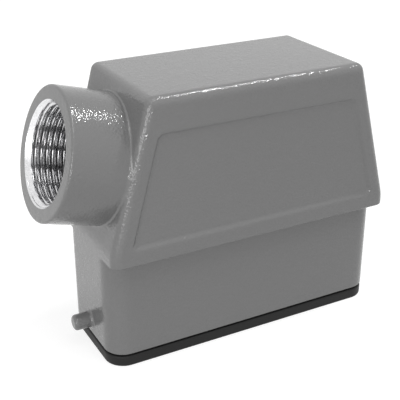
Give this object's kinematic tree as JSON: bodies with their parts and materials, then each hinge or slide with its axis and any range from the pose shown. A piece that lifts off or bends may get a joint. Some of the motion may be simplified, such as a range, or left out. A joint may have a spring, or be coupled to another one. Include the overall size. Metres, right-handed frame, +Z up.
{
  "type": "heavy duty rectangular connector hood with pin insert",
  "caption": "Die-cast angled hood of a heavy duty rectangular connector, with a tilted threaded cable boss, locking pegs, a rim seal and a male pin insert.",
  "frame": {"origin": "centre of the mating rectangle on the lower face of the rim seal", "axes": "+X along the hood, away from the cable boss; +Y across it; +Z up, away from the mating side"},
  "size_m": [0.0976, 0.035, 0.0712],
  "materials": {
    "hood_paint": "semi-gloss powder coat with fine orange peel",
    "seal_rubber": "matt",
    "insert_plastic": "matt moulded",
    "contact_metal": "silver-plated, satin",
    "screw_steel": "zinc-plated",
    "guard_steel": "satin",
    "earth_brass": "satin"
  },
  "bodies": {
    "root": {"hood_shell": "hood_paint", "rim_gasket": "seal_rubber", "insert_body": "insert_plastic", "terminal_block": "insert_plastic", "pin_1": "contact_metal", "pin_2": "contact_metal", "pin_3": "contact_metal", "pin_4": "contact_metal", "pin_5": "contact_metal", "pin_6": "contact_metal", "pin_7": "contact_metal", "pin_8": "contact_metal", "pin_9": "contact_metal", "pin_10": "contact_metal", "pin_11": "contact_metal", "pin_12": "contact_metal", "pin_13": "contact_metal", "pin_14": "contact_metal", "pin_15": "contact_metal", "pin_16": "contact_metal", "terminal_screws": "screw_steel", "wire_guards": "guard_steel", "earth_plate_left": "earth_brass", "earth_plate_right": "earth_brass", "earth_screws": "screw_steel", "earth_washers": "guard_steel", "mounting_screws": "screw_steel", "lock_washers": "guard_steel"}
  },
  "joints": []
}
